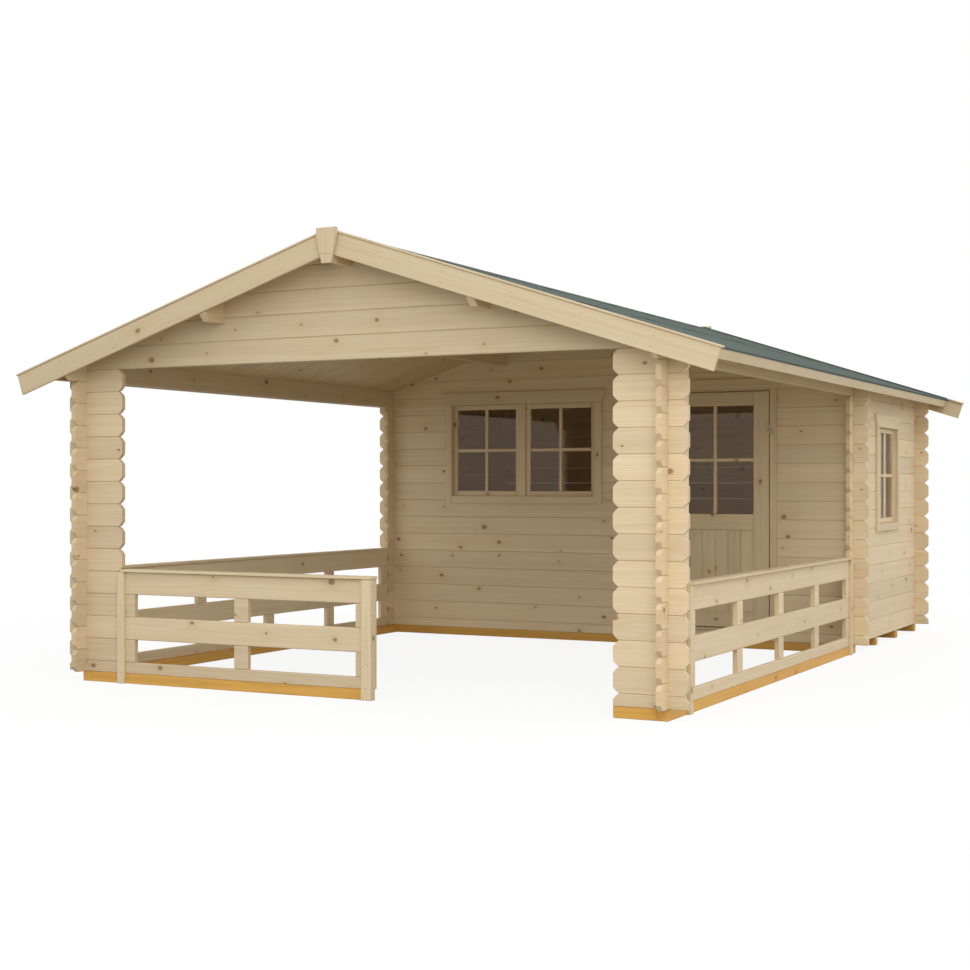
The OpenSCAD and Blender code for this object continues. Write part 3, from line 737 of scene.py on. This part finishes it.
# The felt is turned up against the strip along each verge.
for points, low, high in spans_of("verge_strips"):
    side, _, lifts = roof_place(points)
    inner, inwards = (high.y, 1) if low.y < 0 else (low.y, -1)
    outer = inner + inwards * FELT_THICK
    top = max(lifts) + UPSTAND_OVER
    start = len(felt_points)
    for down in (RIDGE_FOLD, slope_length):
        for y, lift in ((inner, UPSTAND_FOOT), (outer, UPSTAND_FOOT), (outer, top), (inner, top)):
            felt_points.append(on_slope(side, down, lift, y))
    felt_faces += tube(start, 4, 2)


def plain_piece(name, points, faces, material, body, replaced=()):
    """Piece without grain, its faces turned outwards."""
    mesh = bpy.data.meshes.new(name)
    shape = bmesh.new()
    corners = [shape.verts.new(point) for point in points]
    for face in faces:
        shape.faces.new([corners[i] for i in face])
    bmesh.ops.recalc_face_normals(shape, faces=shape.faces[:])
    shape.to_mesh(mesh)
    shape.free()
    join_part(name, mesh, material, body, replaced)


HEAD_SIDES = 10
HEAD_RINGS = ((1.0, 0.0), (0.95, 0.12), (0.55, 0.26))


def nail_heads(name, places, radius, material, body):
    """Low round heads set on a surface, each given by its place and the way it faces."""
    points, faces = [], []
    turns = [math.tau * k / HEAD_SIDES for k in range(HEAD_SIDES)]
    for place, out in places:
        across = out.orthogonal().normalized()
        level = out.cross(across)
        faces += tube(len(points), HEAD_SIDES, len(HEAD_RINGS))
        for wide, lift in HEAD_RINGS:
            points += [place + (across * math.cos(turn) + level * math.sin(turn)) * wide * radius
                       + out * lift * radius for turn in turns]
    plain_piece(name, points, faces, material, body)


# Fine specks in two tones, as on coated, dull or dusty metal.
SPECK_INPUTS = ("Fineness", "Dark", "Pale")
speck_tree, put_in, put_out = new_group(
    "metal_specks", SPECK_INPUTS, ("Color", "Specks"), colours=("Dark", "Pale", "Color")
)
fineness, dark, pale = put_in
specks = noise(own_spot(speck_tree), fineness)
put(put_out["Color"], mix_colour(specks, dark, pale))
put(put_out["Specks"], specks)


def specked(name, fineness, dark, pale, metallic, roughness, uneven=0.0):
    """Material with fine specks; uneven is how much rougher the pale ones are."""
    material = new_material(name)
    surface = surface_of(material)
    tones = dict(zip(SPECK_INPUTS, (fineness, dark, pale)))
    colour, specks = use_group(speck_tree, material.node_tree, tones)
    put(surface["Base Color"], colour)
    put(surface["Metallic"], metallic)
    put(surface["Roughness"], specks * uneven + roughness if uneven else roughness)
    return material


plain_piece("felt_strips", felt_points, felt_faces, felt, "cabin",
            ["roof_felt_left", "roof_felt_right"])
zinc = specked("zinc_steel", 260.0, tint(150, 139, 112), tint(186, 173, 142),
               metallic=1.0, roughness=0.32, uneven=0.25)
nail_heads("felt_clouts", clouts, CLOUT_R, zinc, "cabin")

# Barge boards, fascias, verge strips and keystone boards
# Planed pine boards that close the roof edges: wide ones up the gables, narrow ones along the
# eaves, flat strips over the felt edge, and a keystone board over each ridge joint.
TRIM_EASE = 0.002
STRIP_EASE = 0.004
KEYSTONE_EASE = 0.001
UPRIGHT = Vector((0, 0, 1))
trim_pine = cut_timber("trim_pine", tint(214, 197, 165), tint(184, 156, 114), KNOT_BROWN,
                       contrast=0.6, knots=0.35)
dress("fascias", "eaves_fascias", trim_pine, "cabin", TRIM_EASE)
dress("barge_boards_front", "front_bargeboards", trim_pine, "cabin", TRIM_EASE)
dress("barge_boards_rear", "rear_bargeboards", trim_pine, "cabin", TRIM_EASE)
dress("verge_cover_strips", "verge_strips", trim_pine, "cabin", STRIP_EASE)
dress("keystone_boards", "finials", trim_pine, "cabin", KEYSTONE_EASE, UPRIGHT)

# Wire nails hold them, driven flush: a pair in each barge board every half metre, one row in the
# fascias and one in the verge strips. Their heads are dull steel.
NAIL_R = 0.0027
BARGE_NAILS = 0.52
BARGE_NAIL_ROWS = (0.30, 0.78)
BARGE_NAILS_IN = 0.14
FASCIA_NAILS = 0.48
STRIP_NAILS = 0.40
STRIP_NAILS_FROM_RIDGE = 0.10
STRIP_NAILS_FROM_EAVES = 0.05
dull_steel = specked("dull_steel", 900.0, tint(104, 92, 78), tint(146, 134, 118),
                     metallic=0.6, roughness=0.55)


def nail_row(first, last, every, out):
    """Evenly spaced nails on the line between two points."""
    count = max(2, round((last - first).length / every) + 1)
    return [(first.lerp(last, (i + 0.5) / count), out) for i in range(count)]


trim_nails = []
for node, out in (("front_bargeboards", Vector((0, -1, 0))), ("rear_bargeboards", Vector((0, 1, 0)))):
    for points, low, high in spans_of(node):
        side, downs, lifts = roof_place(points)
        face_y = low.y if out.y < 0 else high.y
        for share in BARGE_NAIL_ROWS:
            ends = [on_slope(side, down, min(lifts) * share, face_y)
                    for down in (BARGE_NAILS_IN, max(downs) - BARGE_NAILS_IN)]
            trim_nails += nail_row(*ends, BARGE_NAILS, out)
for points, low, high in spans_of("eaves_fascias"):
    side, downs, lifts = roof_place(points)
    ends = [on_slope(side, max(downs), (min(lifts) + felt_lip) / 2, y) for y in (low.y, high.y)]
    trim_nails += nail_row(*ends, FASCIA_NAILS, Vector((side * fall.x, 0, fall.z)))
for points, low, high in spans_of("verge_strips"):
    side, downs, lifts = roof_place(points)
    ends = [on_slope(side, down, max(lifts), (low.y + high.y) / 2)
            for down in (STRIP_NAILS_FROM_RIDGE, max(downs) - STRIP_NAILS_FROM_EAVES)]
    trim_nails += nail_row(*ends, STRIP_NAILS, Vector((side * up.x, 0, up.z)))
nail_heads("trim_nails", trim_nails, NAIL_R, dull_steel, "cabin")

# Railing caps, cover strips and end boards
# Flat boards that finish the railings: a cap along the top, upright strips over the joints to the
# posts and the wall, and at the free end of the front railing a pair of boards with a strip between.
CAP_NAILS = 0.45
COVER_NAILS = 0.15
rail_pine = cut_timber("rail_pine", tint(229, 212, 179), tint(198, 170, 126), KNOT_BROWN,
                       contrast=0.6, knots=0.35)
dress("rail_caps", "railing_caps", rail_pine, "cabin", TRIM_EASE)
dress("rail_cover_strips", "railing_cover_strips", rail_pine, "cabin", TRIM_EASE)
dress("rail_end_boards", "front_railing_end_boards", rail_pine, "cabin", TRIM_EASE)
rail_nails = []
for _, low, high in spans_of("railing_caps"):
    middle = (low + high) / 2
    if high.x - low.x > high.y - low.y:
        ends = Vector((low.x, middle.y, high.z)), Vector((high.x, middle.y, high.z))
    else:
        ends = Vector((middle.x, low.y, high.z)), Vector((middle.x, high.y, high.z))
    rail_nails += nail_row(*ends, CAP_NAILS, UPRIGHT)
for _, low, high in spans_of("railing_cover_strips") + spans_of("front_railing_end_boards"):
    middle = (low + high) / 2
    if high.x - low.x > high.y - low.y:
        out = Vector((0, -1 if low.y < front_plane else 1, 0))
        face = (middle.x, low.y if out.y < 0 else high.y)
    else:
        out = Vector((1 if middle.x > left_plane / 2 else -1, 0, 0))
        face = (high.x if out.x > 0 else low.x, middle.y)
    rail_nails += nail_row(Vector((*face, low.z)), Vector((*face, high.z)), COVER_NAILS, out)
nail_heads("rail_nails", rail_nails, NAIL_R, dull_steel, "cabin")

# Door
# A half-glazed pine leaf: stiles and rails, upright boards below, one pane behind glazing bars
# above, hung on lift-off hinges in a grooved frame with a flared header board.
PANEL_BOARD = 0.090
PANEL_JOINT = 0.0006
joinery = cut_timber("joinery_pine", tint(229, 211, 177), tint(198, 166, 119), KNOT_BROWN,
                     contrast=0.75, knots=0.3)
dress("door_frame_boards", "door_frame", joinery, "cabin", TRIM_EASE)
dress("door_header_board", "door_header", joinery, "cabin", TRIM_EASE)
dress("door_stiles_and_rails", "door_leaf_frame", joinery, "door", TRIM_EASE)
panel_low, panel_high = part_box("door_panel")
panel_stock = Stock()
for left, right in side_by_side(panel_low.x, panel_high.x, PANEL_BOARD, PANEL_JOINT):
    panel_stock.block((left, *panel_low.yz), (right, *panel_high.yz), BOARD_EASE)
panel_stock.piece("door_panel_boards", joinery, "door", ["door_panel"])

# Panes of float glass, here and in the windows, with faint smears from wiping.
SMEARS = 3.5
SMEAR_EDGE = (0.42, 0.75)
SMEAR_ROUGH = 0.05
glass = new_material("pane_glass")
glass_surface = surface_of(glass)
smears = noise(own_spot(glass.node_tree), SMEARS, detail=4.0, roughness=0.6)
put(glass_surface["Base Color"], (0.95, 0.85, 0.72, 1.0))
put(glass_surface["Transmission Weight"], 1.0)
put(glass_surface["IOR"], 1.42)
# The panes' reflections are tinted warm: a painted reflection of the brown wood round them.
put(glass_surface["Specular Tint"], (1.0, 0.84, 0.70, 1.0))
put(glass_surface["Roughness"], ease(smears, *SMEAR_EDGE) * SMEAR_ROUGH)
raise_grain(glass, smears, strength=0.02, rise=0.001)
dress_cad(glass, "door_glass", "window_glass")

BAR_WIDTH = 0.024
BAR_DEPTH = 0.011
BAR_EASE = 0.003


def glazing_bars(stock, low, high, wide, thin):
    """Upright and level bars on both faces of a pane; wide and thin are its axes along and through."""
    middle = (low + high) / 2
    for near, far in ((low[thin], low[thin] - BAR_DEPTH), (high[thin], high[thin] + BAR_DEPTH)):
        a, b = low.copy(), high.copy()
        a[thin], b[thin] = min(near, far), max(near, far)
        a[wide], b[wide] = middle[wide] - BAR_WIDTH / 2, middle[wide] + BAR_WIDTH / 2
        stock.block(a, b, BAR_EASE)
        a[2], b[2] = middle[2] - BAR_WIDTH / 2, middle[2] + BAR_WIDTH / 2
        for start, end in ((low[wide], a[wide]), (b[wide], high[wide])):
            level_a, level_b = a.copy(), b.copy()
            level_a[wide], level_b[wide] = start, end
            stock.block(level_a, level_b, BAR_EASE)


bar_stock = Stock()
glazing_bars(bar_stock, *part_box("door_glass"), wide=0, thin=1)
bar_stock.piece("door_glazing_bars", joinery, "door")

# The handle is satin steel, brushed level. The hinges are zinc coated.
BRUSH_ALONG = 40.0
BRUSH_ACROSS = 900.0
BRUSH_ROUGH = (0.25, 0.50)
METAL_EASE = 0.0008
SHARP_ANGLE = math.radians(40)
SAME_POINT = 0.00001
steel = new_material("satin_steel")
steel_surface = surface_of(steel)
steel_x, steel_y, steel_z = split(own_spot(steel.node_tree))
brushed = noise(combine(steel_x * BRUSH_ALONG, steel_y, steel_z * BRUSH_ACROSS), 1.0)
put(steel_surface["Base Color"], tint(176, 175, 172))
put(steel_surface["Metallic"], 1.0)
put(steel_surface["Roughness"], spread(brushed, *BRUSH_ROUGH))
dress_cad(steel, "door_handle")
dress_cad(zinc, "door_hinge_pins", "door_hinge_sleeves")
for name in ("door_handle", "door_hinge_pins", "door_hinge_sleeves"):
    weld = cad[name].modifiers.new("weld", "WELD")
    weld.merge_threshold = SAME_POINT
    eased = cad[name].modifiers.new("eased_edges", "BEVEL")
    eased.width = METAL_EASE
    eased.segments = 2
    eased.limit_method = "ANGLE"
    eased.angle_limit = SHARP_ANGLE

# Screws hold the two handle plates and the hinge leaves, and a keyhole shows under each lever.
PLATE_W = 0.034
PLATE_T = 0.004
PLATE_SCREW_R = 0.0040
PLATE_SCREW_IN = 0.014
LEVER_DROP = 0.0735
KEYHOLE_DROP = 0.072
KEYHOLE_R = 0.0042
KEYHOLE_ROUND = range(-60, 241, 20)
KEYHOLE_FOOT = 0.016
KEYHOLE_FOOT_HALF = 0.0018
KEYHOLE_FACE = 0.0003
HINGE_SCREW_R = 0.0034
HINGE_SCREW_IN = 0.009
HINGE_SCREWS = (0.25, 0.75)
HINGE_EDGE = 0.0005
# Each keyhole is a thin dark plate on the handle plate: painted shade where the hole would be.
keyhole_shade_paint = specked("keyhole_painted_shade", 700.0, tint(16, 15, 14), tint(44, 40, 36),
                    metallic=0.0, roughness=0.8)
handle_screws = []
slot_points, slot_faces = [], []
leaf_low, leaf_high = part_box("door_leaf_frame")
lever_low, lever_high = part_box("door_handle")
plate_x = lever_low.x + PLATE_W / 2
key_z = lever_high.z - LEVER_DROP - KEYHOLE_DROP
key_turns = [math.radians(degrees) for degrees in KEYHOLE_ROUND]
key_ring = [(KEYHOLE_R * math.cos(turn), KEYHOLE_R * math.sin(turn)) for turn in key_turns]
key_ring += [(-KEYHOLE_FOOT_HALF, -KEYHOLE_FOOT), (KEYHOLE_FOOT_HALF, -KEYHOLE_FOOT)]
for out, plate_y in ((-1, leaf_low.y - PLATE_T), (1, leaf_high.y + PLATE_T)):
    for z in (lever_low.z + PLATE_SCREW_IN, lever_high.z - PLATE_SCREW_IN):
        handle_screws.append((Vector((plate_x, plate_y, z)), Vector((0, out, 0))))
    slot_faces += tube(len(slot_points), len(key_ring), 2)
    for y in (plate_y, plate_y + out * KEYHOLE_FACE):
        slot_points += [Vector((plate_x + x, y, key_z + z)) for x, z in key_ring]
nail_heads("handle_screws", handle_screws, PLATE_SCREW_R, steel, "door")
plain_piece("keyholes", slot_points, slot_faces, keyhole_shade_paint, "door")
for node, body, turn in (("door_hinge_pins", "cabin", 1), ("door_hinge_sleeves", "door", -1)):
    hinge_screws = []
    for points, low, high in spans_of(node):
        edge_x = high.x if turn > 0 else low.x
        leaf_bottom, leaf_top = span([p for p in points if abs(p.x - edge_x) < HINGE_EDGE])
        for share in HINGE_SCREWS:
            z = leaf_bottom.z + share * (leaf_top.z - leaf_bottom.z)
            spot = Vector((edge_x - turn * HINGE_SCREW_IN, leaf_bottom.y, z))
            hinge_screws.append((spot, Vector((0, -1, 0))))
    nail_heads("hinge_screws_" + body, hinge_screws, HINGE_SCREW_R, zinc, body)

# Windows
# A double window beside the door and a single one in the right wall: pine frames in the logs,
# sashes with one pane each behind crossed bars, and casing boards with a flared header.
SASH_EASE = 0.003
dress("window_frame_bars", "window_frames", joinery, "cabin", TRIM_EASE)
dress("window_sash_bars", "window_sashes", joinery, "cabin", SASH_EASE)
dress("window_casing_boards", "window_casings", joinery, "cabin", TRIM_EASE)
window_bars = Stock()
for _, low, high in spans_of("window_glass"):
    thin = 1 if high.y - low.y < high.x - low.x else 0
    glazing_bars(window_bars, low, high, 1 - thin, thin)
window_bars.piece("window_glazing_bars", joinery, "cabin")

# Studio
# A wide pale floor that runs into a white background, soft light from all round and three weak
# soft lamps: at the front right, high above it and at the right. The camera is low at the front right.
FLOOR_REACH = 60.0
FLOOR_BOUNCE = (0.41, 0.39, 0.345, 1.0)
FLOOR_SEEN = (0.95, 0.95, 0.95, 1.0)
SHADOW_REACH = (4.0, 9.0)
GLOW_NEAR = 0.88
scene = bpy.context.scene
scene.view_settings.view_transform = "Standard"
floor_mesh = bpy.data.meshes.new("studio_floor")
floor_corners = [(x * FLOOR_REACH, y * FLOOR_REACH, 0) for x, y in ((-1, -1), (1, -1), (1, 1), (-1, 1))]
floor_mesh.from_pydata(floor_corners, [], [(0, 1, 2, 3)])
floor = bpy.data.objects.new("studio_floor", floor_mesh)
scene.collection.objects.link(floor)
white = new_material("studio_white")
white_nodes = white.node_tree.nodes
white_surface = surface_of(white)
rays = white_nodes.new("ShaderNodeLightPath").outputs
camera_ray, glossy_ray, pane_ray = (
    Term(rays[kind]) for kind in ("Is Camera Ray", "Is Glossy Ray", "Is Transmission Ray"))
seen = camera_ray.math("MAXIMUM", glossy_ray.math("MAXIMUM", pane_ray))
put(white_surface["Base Color"], mix_colour(seen, FLOOR_BOUNCE, FLOOR_SEEN))
put(white_surface["Roughness"], 1.0)
put(white_surface["Specular IOR Level"], 0.0)
floor_spot = Term(white_nodes.new("ShaderNodeNewGeometry").outputs["Position"])
floor_far = new_node("VectorMath", floor_spot)
floor_far.operation = "LENGTH"
_, far_out = fill(floor_far, {0: floor_spot})
white_share = mix_value(ease(far_out, *SHADOW_REACH), GLOW_NEAR, 1.0)
white_glow = white_nodes.new("ShaderNodeEmission")
put(white_glow.inputs["Strength"], 1.0)
white_mix = fill(white_nodes.new("ShaderNodeMixShader"), {
    0: seen * white_share,
    1: Term(white_nodes["Principled BSDF"].outputs[0]),
    2: Term(white_glow.outputs[0])})
put(white_nodes["Material Output"].inputs["Surface"], white_mix[0])
floor_mesh.materials.append(white)

world = bpy.data.worlds.new("studio_world")
scene.world = world
world.use_nodes = True
sky_light = world.node_tree.nodes["Background"]
put(sky_light.inputs["Color"], (1.0, 1.0, 1.0, 1.0))
put(sky_light.inputs["Strength"], 1.0)


def soft_lamp(name, place, aim, size, power):
    data = bpy.data.lights.new(name, "AREA")
    data.shape = "DISK"
    data.size = size
    data.energy = power
    lamp = bpy.data.objects.new(name, data)
    lamp.location = place
    lamp.rotation_euler = (Vector(aim) - Vector(place)).to_track_quat("-Z", "Y").to_euler()
    scene.collection.objects.link(lamp)


soft_lamp("front_right_lamp", (4.5, -9.0, 3.5), (0.5, -1.5, 1.2), size=4.0, power=115.0)
soft_lamp("high_front_lamp", (5.0, -8.0, 9.0), (0.5, -1.5, 1.0), size=5.0, power=180.0)
soft_lamp("right_lamp", (13.0, 1.0, 4.0), (1.0, 0.0, 1.2), size=7.0, power=115.0)

CAMERA_PLACE = (4.7415, -10.4462, 1.1829)
CAMERA_TURN = 27.10
CAMERA_LENS = 59.78
CAMERA_SENSOR = 36.0
CAMERA_SHIFT = (0.00036, 0.0007)
camera_data = bpy.data.cameras.new("camera")
camera_data.sensor_width = CAMERA_SENSOR
camera_data.lens = CAMERA_LENS
camera_data.shift_x, camera_data.shift_y = CAMERA_SHIFT
camera = bpy.data.objects.new("camera", camera_data)
camera.location = CAMERA_PLACE
camera.rotation_euler = (math.radians(90), 0.0, math.radians(CAMERA_TURN))
scene.collection.objects.link(camera)
scene.camera = camera
